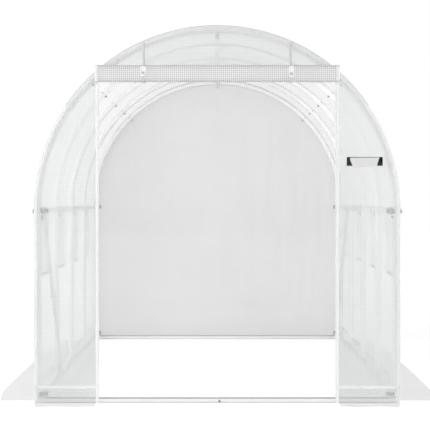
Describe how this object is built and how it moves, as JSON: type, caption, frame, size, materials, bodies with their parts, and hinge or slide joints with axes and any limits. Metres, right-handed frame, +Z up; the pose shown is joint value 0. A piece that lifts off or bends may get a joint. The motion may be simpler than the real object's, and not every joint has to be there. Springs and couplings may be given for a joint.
{
  "type": "polytunnel greenhouse",
  "caption": "Walk-in tunnel greenhouse: white tube hoops and rails under a translucent grid-reinforced film cover, with a roll-up door and mesh side windows.",
  "frame": {"origin": "on the ground, under the middle of the tunnel", "axes": "+X to the right as seen from the door end, +Y along the tunnel from the door end to the closed end, +Z up"},
  "size_m": [2.5, 4.34, 2.06],
  "materials": {
    "tube": "satin white powder coat",
    "film": "translucent film with a woven reinforcing grid",
    "rolled_film": "the same film, rolled up into many layers",
    "zip_tape": "white zip tape",
    "webbing": "light grey webbing",
    "mesh": "fine insect mesh",
    "label": "plain woven label",
    "fitting": "zinc-plated bolts, nuts and rail-end plates"
  },
  "bodies": {
    "root": {"front_arch": "tube", "second_arch": "tube", "middle_arch": "tube", "fourth_arch": "tube", "back_arch": "tube", "left_legs": "tube", "right_legs": "tube", "front_sill": "tube", "back_sill": "tube", "left_base_rail": "tube", "right_base_rail": "tube", "left_side_rail": "tube", "right_side_rail": "tube", "ridge_rail": "tube", "left_front_brace": "tube", "right_back_brace": "tube", "left_wall_film": "film", "right_wall_film": "film", "roof_film_left_low": "film", "roof_film_left_mid": "film", "roof_film_left_top": "film", "roof_film_right_top": "film", "roof_film_right_mid": "film", "roof_film_right_low": "film", "front_left_panel": "film", "front_right_panel": "film", "front_top_panel": "film", "back_panel": "film", "left_ground_skirt": "film", "right_ground_skirt": "film", "front_left_skirt": "film", "front_right_skirt": "film", "back_skirt": "film", "door_roll": "rolled_film", "left_window_flaps": "rolled_film", "right_window_flaps": "rolled_film", "left_zip_tape": "zip_tape", "right_zip_tape": "zip_tape", "left_door_tie": "webbing", "right_door_tie": "webbing", "left_window_meshes": "mesh", "right_window_meshes": "mesh", "blank_label": "label"}
  },
  "joints": []
}
